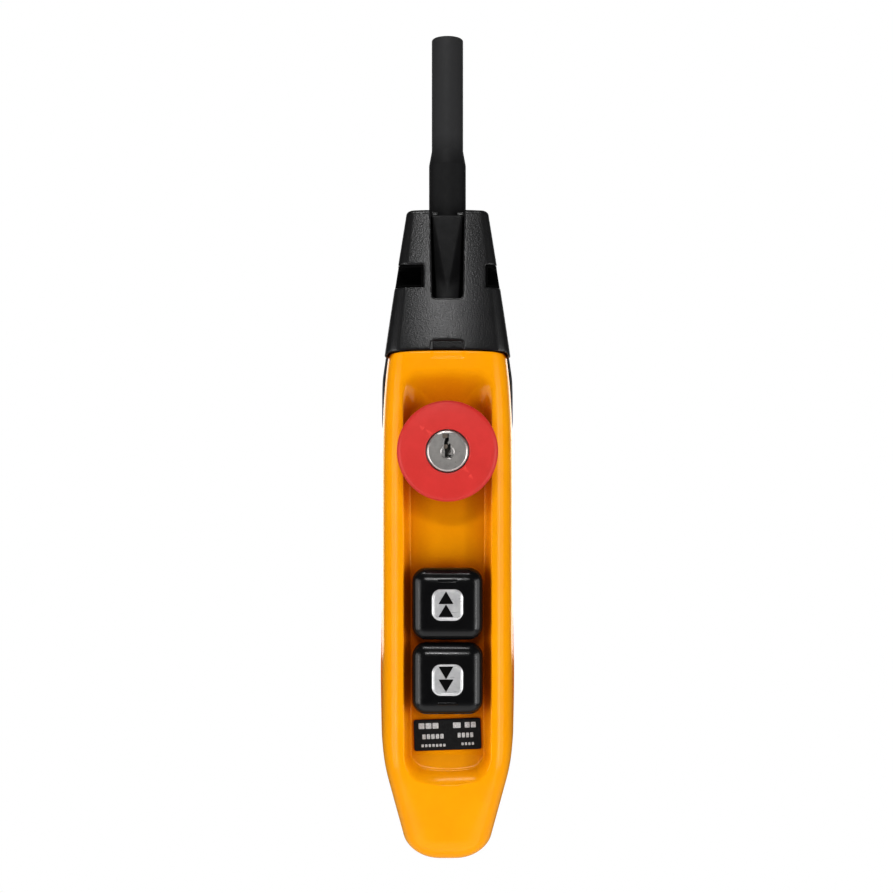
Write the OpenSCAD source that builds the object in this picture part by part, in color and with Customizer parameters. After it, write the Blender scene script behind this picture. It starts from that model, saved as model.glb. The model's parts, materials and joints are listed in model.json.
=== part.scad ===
// Pendant control station for a hoist: a hand-held case on a cable, with a
// key-release emergency stop and an up and a down push button.
// Millimetres. +Z is up along the cable, and the controls face -Y.
// The origin is the centre of the cable sleeve's mouth.

/* [Case] */
// Full width of the case at its grip
body_w = 55; // [54.6:0.1:56]
// Height of the yellow case, from the head's lower edge to the tip
body_l = 210.2; // [209:0.1:213]
// Depth from the parting plane to the front rim
front_depth = 21; // [20.6:0.1:21.6]
// Depth from the parting plane to the flat back
rear_depth = 25; // [24.8:0.1:26]
// Wall thickness of the case shells
wall = 2.5; // [2.2:0.1:2.7]

/* [Front recess] */
// Depth of the recess floor below the rim
recess_depth = 7.5; // [7:0.1:7.8]
// Width of the recess at the rim
recess_w = 35.6; // [35:0.1:36.2]

/* [Cable head] */
// Height of the head's front face
head_h = 57.5; // [57:0.1:58]
// Width of the head at its top
head_top_w = 34.6; // [34:0.2:35.6]
// How far the head's rear skirt runs down behind the front cover
skirt_h = 32.5; // [31:0.5:34]

/* [Cable sleeve] */
// Bore of the sleeve, for the cable
cable_d = 10; // [9:0.1:10.4]
// Outer diameter of the sleeve's thin end
sleeve_d = 13.2; // [13:0.1:13.4]
// Outer diameter of the sleeve's thick root
root_d = 15.5; // [15.4:0.1:15.7]
// Length of the sleeve above the head
sleeve_l = 75; // [70:1:80]

/* [Emergency stop] */
// Diameter of the mushroom head
mushroom_d = 40; // [39:0.5:40.5]
// Diameter of the lock face
lock_d = 16.2; // [16:0.1:16.4]
// Travel of the mushroom head when it is struck
stop_travel = 5.5; // [5:0.1:5.5]

/* [Push buttons] */
// Width of a button cap
cap_w = 28.7; // [28:0.1:28.8]
// Height of a button cap
cap_h = 29.3; // [28.8:0.1:29.6]
// Distance between the two buttons' centres
pitch = 30.3; // [30.3:0.1:30.8]
// Travel of a button
button_travel = 4.5; // [4:0.1:4.5]

/* [Rating plate] */
// Width of the rating plate
plate_w = 28; // [26:0.5:28.5]
// Height of the rating plate
plate_h = 13; // [12:0.5:13.5]

/* [Hidden] */
$fn = 64;
eps = 0.02;   // overlap that keeps a cut from ending on a face
gap = 0.1;    // clearance of a sliding or turning fit

// Heights of the main stations along the cable axis.
head_top = -sleeve_l;
cover_top = head_top - head_h;
tip = cover_top - body_l;
skirt_end = cover_top - skirt_h;

stop_z = cover_top - 41;
up_z = cover_top - 103.2;
down_z = up_z - pitch;
plate_z = cover_top - 157.9;

floor_t = 2.5;                            // thickness of the recess floor
floor_y = -(front_depth - recess_depth);  // outer face of the recess floor
half_w = body_w / 2;

amber = [1.0, 0.62, 0.04];
coal = [0.15, 0.15, 0.16];
jet = [0.06, 0.06, 0.07];
signal_red = [0.85, 0.15, 0.13];
nickel = [0.75, 0.74, 0.72];
silvery = [0.8, 0.8, 0.8];
brassy = [0.8, 0.62, 0.28];
ivory = [0.85, 0.83, 0.76];

// ---------------------------------------------------------------- helpers

function arc(cx, cy, r, from, n) =
  [for (i = [0:n]) [cx + r * cos(from + 90 * i / n), cy + r * sin(from + 90 * i / n)]];

// Rounded rectangle about x = 0, from lo to hi, with its own radius at each end.
function rounded(hw, lo, hi, r_lo, r_hi, n = 6) = concat(
  arc(hw - r_lo, lo + r_lo, r_lo, -90, n), arc(hw - r_hi, hi - r_hi, r_hi, 0, n),
  arc(-hw + r_hi, hi - r_hi, r_hi, 90, n), arc(-hw + r_lo, lo + r_lo, r_lo, 180, n));

// Closed solid through rings of equally many points, the lowest ring first.
module loft(rings) {
  n = len(rings[0]);
  m = len(rings);
  polyhedron(
    points = [for (r = rings) each r],
    faces = concat(
      [[for (i = [0:n - 1]) i]],
      [for (k = [0:m - 2], i = [0:n - 1]) let (j = (i + 1) % n)
        [k * n + i, (k + 1) * n + i, (k + 1) * n + j]],
      [for (k = [0:m - 2], i = [0:n - 1]) let (j = (i + 1) % n)
        [k * n + i, (k + 1) * n + j, k * n + j]],
      [[for (i = [n - 1:-1:0]) (m - 1) * n + i]]));
}

// Points of a helix of the given turns, from height 0 to height h.
function helix(r, h, turns, steps) =
  [for (i = [0:turns * steps]) let (a = 360 * i / steps)
    [r * cos(a), r * sin(a), h * i / (turns * steps)]];

function unit(v) = v / norm(v);
function tangent(path, i) =
  unit(path[min(i + 1, len(path) - 1)] - path[max(i - 1, 0)]);
// A ring of points round a path, square to it; side is a direction never along the path.
function tube_ring(path, i, r, sides, side) =
  let (t = tangent(path, i), u = unit(cross(side, t)), v = cross(t, u))
  [for (k = [0:sides - 1]) path[i] + r * (u * cos(360 * k / sides) + v * sin(360 * k / sides))];
module tube(path, r, sides = 8, side = [0, 0, 1])
  loft([for (i = [0:len(path) - 1]) tube_ring(path, i, r, sides, side)]);

// Places a control on the recess floor: its own +Z points out at the operator.
module on_floor(z) translate([0, floor_y, z]) rotate([90, 0, 0]) children();
// A cylinder along Y between two depths.
module bar_y(x, z, y0, y1, r)
  translate([x, y1, z]) rotate([90, 0, 0]) cylinder(r = r, h = y1 - y0);
// A box from one corner to the other.
module block(lo, hi) translate(lo) cube(hi - lo);

// ---------------------------------------------------------------- case shells

// Height above the tip, then how far the sides, front and back are in from the full section.
body_insets = [
  [0, 21.5, 12.5, 17.5], [0.4, 19.5, 10.8, 15.2], [1.4, 16, 8.6, 12.6], [3.4, 12.9, 6.2, 9.4],
  [6, 10.7, 4.7, 6.8], [9, 8.9, 3.8, 5], [13, 7.4, 3.1, 3.6], [17.3, 6.1, 2.5, 2.4],
  [26, 4, 1.5, 0.8], [34, 2.1, 0.7, 0.2], [39, 1, 0.3, 0], [44, 0.3, 0.1, 0], [51, 0, 0, 0],
  [150, 0, 0, 0], [178, 0.3, 0, 0], [196.5, 1, 0.2, 0.2], [206.2, 1.9, 0.5, 0.6],
  [210.2, 2.5, 0.8, 0.9]];

function body_ring(row, inset) = let (
    hw = half_w - row[1] - inset,
    front = front_depth - row[2] - inset,
    back = rear_depth - row[3] - inset)
  [for (p = rounded(hw, -front, back, min(9 - inset, front * 0.6), min(12 - inset, back * 0.6)))
    [p.x, p.y, tip + row[0] * body_l / 210.2 + (row[0] < 100 ? inset : 0)]];
module body_solid(inset = 0) loft([for (row = body_insets) body_ring(row, inset)]);

// The cavity runs on past the cover's top edge into the head.
module body_cavity(inset) {
  rings = [for (row = body_insets) body_ring(row, inset)];
  top = rings[len(rings) - 1];
  loft(concat(rings, [[for (p = top) [p.x, p.y, cover_top + 1]]]));
}

// Outline of the front recess at one depth, seen from the front.
recess_top = cover_top - 9.3;
recess_end = cover_top - 177.7;
function recess_ring(y, side, up, down, grow) =
  [for (p = rounded(recess_w / 2 - side + grow, recess_end + down - grow, recess_top - up + grow,
                    9 - side, 10)) [p.x, y, p.y]];
// The rings run from the floor outwards, so their order is reversed for the loft.
module recess(grow = 0) {
  rings = [
    recess_ring(floor_y + grow, 2.5, 8, 9.5, grow),
    recess_ring(floor_y + grow - 1.5, 1.6, 6.2, 5.6, grow),
    recess_ring(floor_y + grow - 4.5, 0.6, 3, 2.2, grow),
    recess_ring(-front_depth + 0.2, 0, 0, 0, grow),
    recess_ring(-front_depth - 3, -1, -1, -1, grow)];
  loft(rings);
}

case_posts = [[20.5, cover_top - 75.5], [16.6, cover_top - 173]];
head_posts = [[20, cover_top - 16]];
post_r = 3.4;
well_post_r = 4.7;      // posts of the deep wells that the screws go in by
well_r = 3.1;
case_well_y = 15;       // bottoms of the wells in the rear shell and in the head
head_well_y = 13;
clamp_well_y = 12;
screw_r = 1.6;
button_hole = 20.4;   // side of the square opening under a button cap

module keep_front() block([-60, 0, tip - 10], [60, 60, cover_top + 30]);
module keep_rear() block([-60, -60, tip - 10], [60, 0, cover_top + 30]);

module front_cover() color(amber) {
  difference() {
    union() {
      difference() {
        body_solid();
        keep_front();
        difference() {
          body_cavity(wall);
          recess(floor_t);
        }
      }
      intersection() {
        union() for (p = concat(case_posts, head_posts), s = [-1, 1])
          bar_y(s * p.x, p.y, -front_depth + wall / 2, 0, post_r);
        body_solid(wall / 2);
      }
    }
    recess();
    // openings for the emergency stop and the two plungers
    bar_y(0, stop_z, -front_depth, 0, 11.1);
    for (z = [up_z, down_z])
      block([-button_hole / 2, -front_depth, z - button_hole / 2],
            [button_hole / 2, 0, z + button_hole / 2]);
    // pilot holes of the case screws and the contact frame's screws
    for (p = concat(case_posts, head_posts), s = [-1, 1])
      bar_y(s * p.x, p.y, -14, eps, screw_r + gap);
    for (x = [-13.6, 13.6], z = frame_screw_z)
      bar_y(x, z, floor_y + 1.2, 0, 1.1 + gap / 2);
    // finger notch in the top edge
    block([-6.6, -front_depth - 1, cover_top - 0.8], [6.6, -front_depth + 1.8, cover_top + 1]);
  }
}

module rear_shell() color(amber) {
  difference() {
    union() {
      difference() {
        body_solid();
        keep_rear();
        block([-60, -60, skirt_end], [60, 60, cover_top + 30]);
        body_cavity(wall);
      }
      intersection() {
        union() for (p = case_posts, s = [-1, 1])
          bar_y(s * p.x, p.y, 0, rear_depth, well_post_r);
        body_solid(wall / 2);
      }
    }
    for (p = case_posts, s = [-1, 1]) {
      bar_y(s * p.x, p.y, -eps, rear_depth + 1, screw_r + gap);
      bar_y(s * p.x, p.y, case_well_y, rear_depth + 1, well_r);
    }
    seal_ring(0);
  }
}

// Outline of the case at the parting plane, set in by an amount.
function side_points(inset) = [for (row = body_insets) if (row[0] > 0)
  [half_w - row[1] - inset, max(tip + row[0], tip + inset)]];
module outline(inset, top) {
  right = side_points(inset);
  intersection() {
    polygon(concat(right, [for (i = [len(right) - 1:-1:0]) [-right[i].x, right[i].y]]));
    translate([-60, tip - 10]) square([120, top - tip + 10]);
  }
}
// Groove for the seal, and the seal itself, which is a little smaller all round.
module seal_ring(inset) translate([0, 1 + eps, 0]) rotate([90, 0, 0])
  linear_extrude(1 - inset + 2 * eps) difference() {
    outline(0.7 + inset, skirt_end - 2);
    outline(1.8 - inset, skirt_end - 1);
  }
module case_seal() color(jet) seal_ring(0.05);

module pan_screw(x, z, head_y, shank_y, r, head_r, head_h) {
  difference() {
    union() {
      bar_y(x, z, shank_y, head_y, r);
      bar_y(x, z, head_y, head_y + head_h, head_r);
    }
    for (a = [0, 90]) translate([x, head_y + head_h, z]) rotate([0, a, 0])
      cube([head_r * 1.2, head_h, 0.6], center = true);
  }
}
module case_screws() color(nickel)
  for (p = case_posts, s = [-1, 1])
    pan_screw(s * p.x, p.y, case_well_y, -13, screw_r, 2.9, 2.2);

// ---------------------------------------------------------------- cable head

// Height above the skirt's end, half width, front depth and rear depth of the head.
head_rows = [
  [0, 27.2, 20, 24.6], [2, 27.6, 20, 25], [15, 27.6, 20, 24.9], [21.5, 27.4, 20, 24.6],
  [27, 26.6, 20.2, 24.1], [34, 25.5, 20.3, 23.4], [55, 22.5, 18.4, 20.6],
  [72, 20, 17, 18.5], [87.5, 17.3, 15.6, 16.4], [89, 16.4, 14.8, 15.6],
  [90, 14.5, 12.8, 13.8]];
head_wall = 2.4;
function head_ring(row, inset) = let (
    slope = head_top_w / 34.6,
    hw = row[1] * (row[0] > 80 ? slope : 1) - inset)
  [for (p = rounded(hw, -row[2] + inset, row[3] - inset,
                    min(8, row[2] * 0.5) - inset, min(11, row[3] * 0.5) - inset))
    [p.x, p.y, skirt_end + row[0]]];
module head_solid() loft([for (row = head_rows) head_ring(row, 0)]);
// The cavity runs on below the skirt, and stops short of the head's top.
module head_cavity() {
  rings = [for (row = head_rows) if (row[0] > 1 && row[0] < 88) head_ring(row, head_wall)];
  low = [for (p = rings[0]) [p.x, p.y, skirt_end - 2]];
  high = [for (p = rings[len(rings) - 1]) [p.x, p.y, head_top - 3.4]];
  loft(concat([low], [for (i = [1:len(rings) - 2]) rings[i]], [high]));
}

window_w = 13.9;
window_end = head_top - 35.8;
slot_lo = head_top - 31.3;
slot_hi = head_top - 22;
slot_back = 2;
slot_wall = 1.6;
clamp_x = 11.5;
clamp_back = -root_d / 2 - 0.2;   // back face of the clamp's tongue
clamp_z = head_top - 44;

module head_cap() color(coal) {
  difference() {
    union() {
      difference() {
        head_solid();
        block([-60, -60, skirt_end - 10], [60, 0, cover_top]);
        head_cavity();
      }
      intersection() {
        union() {
          for (s = [-1, 1]) {
            bar_y(s * clamp_x, clamp_z, clamp_back - 0.95, 30, 3.2);
            bar_y(s * clamp_x, clamp_z, clamp_well_y - 2, 30, well_post_r);
            bar_y(s * head_posts[0].x, head_posts[0].y, 0, 30, well_post_r);
          }
          block([-40, -40, slot_lo - slot_wall],
                [-9.9 + slot_wall, slot_back + slot_wall, slot_hi + slot_wall]);
          block([15.7 - slot_wall, -40, slot_lo - slot_wall],
                [40, slot_back + slot_wall, slot_hi + slot_wall]);
        }
        head_solid();
      }
    }
    // hole for the sleeve, and the window in front of it
    translate([0, 0, head_top - 5]) cylinder(r = root_d / 2 + gap, h = 10);
    translate([0, clamp_back + 0.6, 0]) rotate([90, 0, 0]) linear_extrude(20)
      polygon(concat([[window_w / 2, head_top + 5], [-window_w / 2, head_top + 5]],
        [for (s = [-1, 1], a = [0:15:90]) [
          s * (6.25 - 1.4 + 1.4 * (s < 0 ? cos(a) : sin(a))),
          window_end + 1.4 - 1.4 * (s < 0 ? sin(a) : cos(a))]]));
    // strap slots: each opens on the front and on one side
    block([-40, -40, slot_lo], [-9.9, slot_back, slot_hi]);
    block([15.7, -40, slot_lo], [40, slot_back, slot_hi]);
    // thumb recess over the joint with the front cover
    block([-6.7, -front_depth - 2, cover_top - 1], [6.7, -19.1, cover_top + 4]);
    // clamp screws and head screws, from the back
    for (s = [-1, 1]) {
      bar_y(s * clamp_x, clamp_z, -10, 40, screw_r + gap);
      bar_y(s * clamp_x, clamp_z, clamp_well_y, 40, well_r);
      bar_y(s * head_posts[0].x, head_posts[0].y, -1, 40, screw_r + gap);
      bar_y(s * head_posts[0].x, head_posts[0].y, head_well_y, 40, well_r);
    }
  }
}
module head_screws() color(nickel)
  for (s = [-1, 1])
    pan_screw(s * head_posts[0].x, head_posts[0].y, head_well_y, -13, screw_r, 2.9, 2.2);

module cable_sleeve() color(jet)
  rotate_extrude() polygon([
    [cable_d / 2, 0], [sleeve_d / 2, 0], [sleeve_d / 2, -sleeve_l + 27.9],
    [root_d / 2, -sleeve_l + 21.7], [root_d / 2, head_top - 3.6], [9.4, head_top - 3.6],
    [9.4, head_top - 7.4], [root_d / 2, head_top - 7.4], [root_d / 2, head_top - 50],
    [cable_d / 2, head_top - 50]]);

// Tongue that fills the window, on a bar that two screws draw against the sleeve.
module cable_clamp() color(coal) {
  difference() {
    union() {
      translate([0, clamp_back, 0]) rotate([90, 0, 0]) linear_extrude(3.6)
        polygon([[6.6, head_top], [-6.6, head_top], [-4.3, window_end - 2], [-4.3, clamp_z],
                 [4.3, clamp_z], [4.3, window_end - 2]]);
      block([-15, clamp_back - 3.6, clamp_z - 4.5], [15, clamp_back - 1, clamp_z + 4.5]);
      block([-7, clamp_back - 2, clamp_z - 4.5], [7, clamp_back, clamp_z + 4.5]);
    }
    // room for the sleeve's collar
    translate([0, 0, head_top - 7.8]) cylinder(r = 9.7, h = 4.4);
    for (s = [-1, 1]) bar_y(s * clamp_x, clamp_z, -30, 0, screw_r + gap);
  }
}
module cable_clamp_screws() color(nickel)
  for (s = [-1, 1]) pan_screw(s * clamp_x, clamp_z, clamp_well_y, clamp_back - 3, screw_r, 2.9, 2);

// ---------------------------------------------------------------- emergency stop

collar_top = 5;      // top of the fixed flange above the recess floor
neck_z = 11;         // underside of the mushroom head, at rest
bore_r = 9;
guide_r = 6.1;
seat_z = -6.5;       // seat of the return spring
body_end = -9.5;
block_front = -8;    // front face of the emergency stop's contact block
channel_end = body_end - stop_travel - 0.4;   // how far the round stem needs room
stop_pad_z = block_front - 5;                 // front face of the fixed contacts
stop_bridge_z = stop_pad_z - 0.8 - 0.05 - 0.8;

module mushroom_head() color(signal_red) on_floor(stop_z) {
  r = mushroom_d / 2;
  rotate_extrude() polygon([
    [8.6, neck_z], [12.6, neck_z], [13.2, 12], [13.6, 14.8], [r - 3.4, 17.2], [r - 1, 18],
    [r - 0.2, 18.8], [r, 20], [r, 22], [r - 0.4, 23.3], [r - 1.4, 24.5], [r - 3, 25.1],
    [9.4, 26.1], [8.6, 25.6]]);
}
module lock_barrel() color(nickel) on_floor(stop_z) difference() {
  translate([0, 0, 6]) cylinder(r = 8.5, h = 17.9);
  translate([0, 0, 8]) cylinder(r = 5.6, h = 17);
}
module lock_plug() color(nickel) on_floor(stop_z) difference() {
  union() {
    translate([0, 0, 8.4]) cylinder(r = 5.5, h = 16);
    translate([0, 0, 24.1]) cylinder(r = lock_d / 2, h = 1.7);
    translate([0, 0, 25.8]) cylinder(r1 = lock_d / 2, r2 = lock_d / 2 - 0.5, h = 0.5);
  }
  translate([0, 0, 25.3]) cylinder(r = 2.85, h = 2);
  block([-1.05, -2.4, 12], [1.05, 6.8, 30]);
}
module stop_stem() color(ivory) on_floor(stop_z) difference() {
  union() {
    translate([0, 0, 4.5]) cylinder(r = 8.8, h = 1.5);
    translate([0, 0, body_end + 0.1]) cylinder(r = guide_r - gap, h = 5 - body_end);
    block([-4, -4, stop_bridge_z - 3], [4, 4, body_end + 1]);
  }
  block([-5, -1.95, stop_bridge_z - 0.2], [5, 1.95, stop_bridge_z + 1]);
}
module stop_body() color(jet) on_floor(stop_z) difference() {
  union() {
    translate([0, 0, 0.8]) cylinder(r = 14.6, h = collar_top - 0.8);
    translate([0, 0, body_end]) cylinder(r = 11, h = 10.5);
  }
  translate([0, 0, seat_z]) cylinder(r = bore_r, h = 20);
  translate([0, 0, -14]) cylinder(r = guide_r, h = 10);
}
module stop_gasket() color(jet) on_floor(stop_z) difference() {
  cylinder(r = 14.2, h = 0.8);
  translate([0, 0, -1]) cylinder(r = 11.1, h = 3);
}
module stop_nut() color(nickel) on_floor(stop_z) translate([0, 0, -floor_t - 4]) difference() {
  cylinder(r = 15.6, h = 4, $fn = 6);
  translate([0, 0, -1]) cylinder(r = 11.1, h = 6);
}

module coil(r, wire, z0, z1, turns) translate([0, 0, z0 + wire])
  tube(helix(r, z1 - z0 - 2 * wire, turns, 16), wire, 6);
module stop_spring() color(silvery) on_floor(stop_z) coil(7.5, 0.45, seat_z + 0.05, 4.45, 4);

// ---------------------------------------------------------------- contact blocks

// A block that holds one pair of fixed contacts, with its front face at height 0.
block_d = 21.3;
block_hw = 12.5;
foot_z = -17.3;
lug_t = 0.6;
module contact_block(chamber_lo, chamber_hi) difference() {
  block([-block_hw, -13, -block_d], [block_hw, 13, 0]);
  block([-4.2, -4.2, -block_d + 1.5], [4.2, 4.2, 1]);
  block([-11.6, -3, chamber_lo], [11.6, 3, chamber_hi]);
  for (s = [-1, 1]) {
    // slot of the contact's leg, terminal pocket and thread
    block([s * 11.1 - 0.5, -3, foot_z - 1], [s * 11.1 + 0.5, 3, chamber_hi]);
    block([s * 9 - 3.6, -4, -block_d - 1], [s * 9 + 3.6, 4, foot_z]);
    translate([s * 8.2, 0, foot_z - 1]) cylinder(r = 1.2 + gap, h = 4.2);
  }
}
// A pair of contact strips: a pad, a leg and a foot under the terminal screw.
module fixed_contacts(pad_z) for (s = [-1, 1]) difference() {
  union() {
    block([min(s * 7.2, s * 11.5), -2.5, pad_z - 0.8], [max(s * 7.2, s * 11.5), 2.5, pad_z]);
    block([min(s * 10.7, s * 11.5), -2.5, foot_z - 0.8], [max(s * 10.7, s * 11.5), 2.5, pad_z]);
    block([min(s * 6, s * 11.5), -2.5, foot_z - 0.8], [max(s * 6, s * 11.5), 2.5, foot_z]);
  }
  translate([s * 8.2, 0, foot_z - 2]) cylinder(r = 1.2 + gap, h = 3);
}
// Their heads stand off by one lug's thickness.
module terminal_screws() for (s = [-1, 1])
  translate([s * 8.2, 0, foot_z - 0.8 - lug_t]) difference() {
    union() {
      translate([0, 0, -1.8]) cylinder(r = 2.3, h = 1.8);
      cylinder(r = 1.2, h = 3.8);
    }
    translate([0, 0, -1.8]) cube([6, 0.6, 1.2], center = true);
  }
module contact_bridge(z) block([-10, -1.8, z], [10, 1.8, z + 0.8]);

module stop_block_frame() on_floor(stop_z) translate([0, 0, block_front]) children();
module stop_contact_block() color(jet) difference() {
  stop_block_frame() contact_block(-14.2, -4.6);
  // socket for the stop's body, and room for the stem
  on_floor(stop_z) translate([0, 0, body_end]) cylinder(r = 11.1, h = 10);
  on_floor(stop_z) translate([0, 0, channel_end]) cylinder(r = guide_r + 0.2, h = 20);
}
module stop_fixed_contacts() color(brassy) stop_block_frame() fixed_contacts(-5);
module stop_contact_bridge() color(brassy) on_floor(stop_z) contact_bridge(stop_bridge_z);
module stop_terminal_screws() color(nickel) stop_block_frame() terminal_screws();

// ---------------------------------------------------------------- push buttons

seal_flange = 1.2;
frame_t = 2;
frame_z = -floor_t - seal_flange - frame_t;   // rear face of the contact frame
skirt_z = button_travel + 0.8;                // lower edge of the cap, at rest
cap_top = 12;
arrow_h = 4.7;
seal_top = 2.4;                               // top of the plunger's seal above the floor
hub_z = seal_top + button_travel + 0.4;
plunger_top = 9.7;
button_bridge_z = -12.8;
legend_w = 13;
spring_seat = -15.5;
frame_screw_z = [up_z + 17.3, down_z - 17.3];

function cap_ring(z, inset) =
  [for (p = rounded(cap_w / 2 - inset, -cap_h / 2 + inset, cap_h / 2 - inset,
                    6.4 - inset, 6.4 - inset)) [p.x, p.y, z]];
// mark is +1 where the moulded mark is above the legend and -1 where it is below.
module button_cap(mark) difference() {
  loft([cap_ring(skirt_z, 0.3), cap_ring(skirt_z + 1, 0), cap_ring(skirt_z + 3, 0.2),
        cap_ring(cap_top - 2, 1.2), cap_ring(cap_top - 0.9, 2.3), cap_ring(cap_top - 0.2, 4.4),
        cap_ring(cap_top, 6)]);
  // hollow underside, with a hub left for the plunger
  difference() {
    loft([cap_ring(skirt_z - 1, 2), cap_ring(cap_top - 2.6, 3.2), cap_ring(cap_top - 2, 4.6)]);
    block([-6, -6, hub_z], [6, 6, 20]);
  }
  block([-4.05, -4.05, 0], [4.05, 4.05, plunger_top + 0.05]);
  // pocket of the legend, and the mark
  translate([0, 0, cap_top - 1]) linear_extrude(2)
    polygon(rounded(legend_w / 2 + 0.05, -legend_w / 2 - 0.05, legend_w / 2 + 0.05, 3.8, 3.8));
  block([-4.3, mark * 9.5 - 0.9, cap_top - 0.7], [4.3, mark * 9.5 + 0.9, cap_top + 1]);
}
// Silvery plate with two arrow-shaped openings, through which the black cap shows.
module legend(mark) translate([0, 0, cap_top - 1]) linear_extrude(1.4) difference() {
  polygon(rounded(legend_w / 2, -legend_w / 2, legend_w / 2, 3.7, 3.7));
  for (y = [-4.9, 0.7]) translate([0, y + arrow_h / 2])
    polygon([[-2.7, -mark * arrow_h / 2], [2.7, -mark * arrow_h / 2], [0, mark * arrow_h / 2]]);
}
module plunger() difference() {
  union() {
    block([-4, -4, spring_seat], [4, 4, plunger_top]);
    block([-4.05, -4.05, plunger_top - 1.5], [4.05, 4.05, plunger_top - 1]);
  }
  block([-5, -1.95, button_bridge_z - 0.2], [5, 1.95, button_bridge_z + 1]);
}
// Rubber seal: a flange under the floor, and a square dome that wipes the plunger.
module seal() difference() {
  union() {
    block([-14.6, -12.4, -floor_t - seal_flange], [14.6, 12.4, -floor_t]);
    block([-10, -10, -floor_t - seal_flange], [10, 10, seal_top]);
  }
  block([-8.8, -8.8, -10], [8.8, 8.8, seal_top - 1]);
  block([-4.1, -4.1, -10], [4.1, 4.1, 10]);
}
module button_block_frame(z) on_floor(z) translate([0, 0, frame_z]) children();
module up_cap() color(jet) on_floor(up_z) button_cap(1);
module down_cap() color(jet) on_floor(down_z) button_cap(-1);
module up_legend() color(silvery) on_floor(up_z) legend(1);
module down_legend() color(silvery) on_floor(down_z) legend(-1);
module button_spring(z) color(silvery) on_floor(z)
  coil(2.9, 0.35, frame_z - block_d + 1.55, spring_seat - 0.05, 6);
module button_contact_block(z) color(jet) button_block_frame(z)
  contact_block(-13.2, -4.8);
module button_contacts(z) color(brassy) button_block_frame(z)
  fixed_contacts(button_bridge_z - button_travel - 0.05 - frame_z);
module button_terminals(z) color(nickel) button_block_frame(z) terminal_screws();

// Plate that clamps both seals and carries both contact blocks.
module contact_frame() color(ivory) difference() {
  block([-15.8, floor_y + floor_t + seal_flange, down_z - 19.5],
        [15.8, floor_y + floor_t + seal_flange + frame_t, up_z + 19.5]);
  for (z = [up_z, down_z]) block([-6.5, floor_y, z - 6.5], [6.5, 0, z + 6.5]);
  for (x = [-13.6, 13.6], z = frame_screw_z) bar_y(x, z, floor_y, 0, 1.1 + gap);
}
module frame_screws() color(nickel)
  for (x = [-13.6, 13.6], z = frame_screw_z)
    pan_screw(x, z, floor_y - frame_z, floor_y + 1.3, 1.1, 2.1, 1.4);

module rating_plate() color(jet) on_floor(plate_z) linear_extrude(0.6)
  polygon(rounded(plate_w / 2, -plate_h / 2, plate_h / 2, 0.8, 0.8, 3));

// Common line: from the emergency stop to the up block, and on to the down block.
wire_x = -8.2;
wire_r = 0.65;
stop_terminal_y = floor_y - block_front - foot_z + 0.8;
terminal_y = floor_y - frame_z - foot_z + 0.8;
// From a lug's tab at height z, out of its pocket and away along dir.
function wire_end(y, z, dir) = [
  [wire_x, y + 0.2, z], [wire_x, y + 3, z], [wire_x, y + 4.2, z + 0.3 * dir],
  [wire_x, y + 5.1, z + 1.1 * dir], [wire_x, y + 5.4, z + 2.4 * dir]];
function backwards(list) = [for (i = [len(list) - 1:-1:0]) list[i]];
module lug(y, z, dir) difference() {
  union() {
    bar_y(wire_x, z, y, y + lug_t, 2.2);
    block([wire_x - 0.9, y, min(z + dir * 1.5, z + dir * 3.9)],
          [wire_x + 0.9, y + lug_t, max(z + dir * 1.5, z + dir * 3.9)]);
  }
  bar_y(wire_x, z, y - 1, y + 2, 1.3);
}
module jumper(y0, z0, y1, z1) {
  tube(concat(wire_end(y0, z0 - 3.2, -1), backwards(wire_end(y1, z1 + 3.2, 1))),
       wire_r, 8, [1, 0, 0]);
  lug(y0, z0, -1);
  lug(y1, z1, 1);
}
module jumper_wires() color(signal_red) {
  jumper(stop_terminal_y, stop_z, terminal_y, up_z);
  translate([2 * -wire_x, 0, 0]) jumper(terminal_y, up_z, terminal_y, down_z);
}

// ---------------------------------------------------------------- nodes

front_cover();
rear_shell();
head_cap();
case_seal();
case_screws();
head_screws();
rating_plate();
cable_sleeve();
cable_clamp();
cable_clamp_screws();
mushroom_head();
lock_barrel();
lock_plug();
stop_stem();
stop_body();
stop_gasket();
stop_nut();
stop_spring();
stop_contact_block();
stop_contact_bridge();
stop_fixed_contacts();
stop_terminal_screws();
up_cap();
up_legend();
color(ivory) on_floor(up_z) plunger();  // up_plunger
color(jet) on_floor(up_z) seal();  // up_seal
button_spring(up_z);  // up_spring
button_contact_block(up_z);  // up_contact_block
color(brassy) on_floor(up_z) contact_bridge(button_bridge_z);  // up_contact_bridge
button_contacts(up_z);  // up_fixed_contacts
button_terminals(up_z);  // up_terminal_screws
down_cap();
down_legend();
color(ivory) on_floor(down_z) plunger();  // down_plunger
color(jet) on_floor(down_z) seal();  // down_seal
button_spring(down_z);  // down_spring
button_contact_block(down_z);  // down_contact_block
color(brassy) on_floor(down_z) contact_bridge(button_bridge_z);  // down_contact_bridge
button_contacts(down_z);  // down_fixed_contacts
button_terminals(down_z);  // down_terminal_screws
contact_frame();
frame_screws();
jumper_wires();
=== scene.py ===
import json
import math

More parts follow.
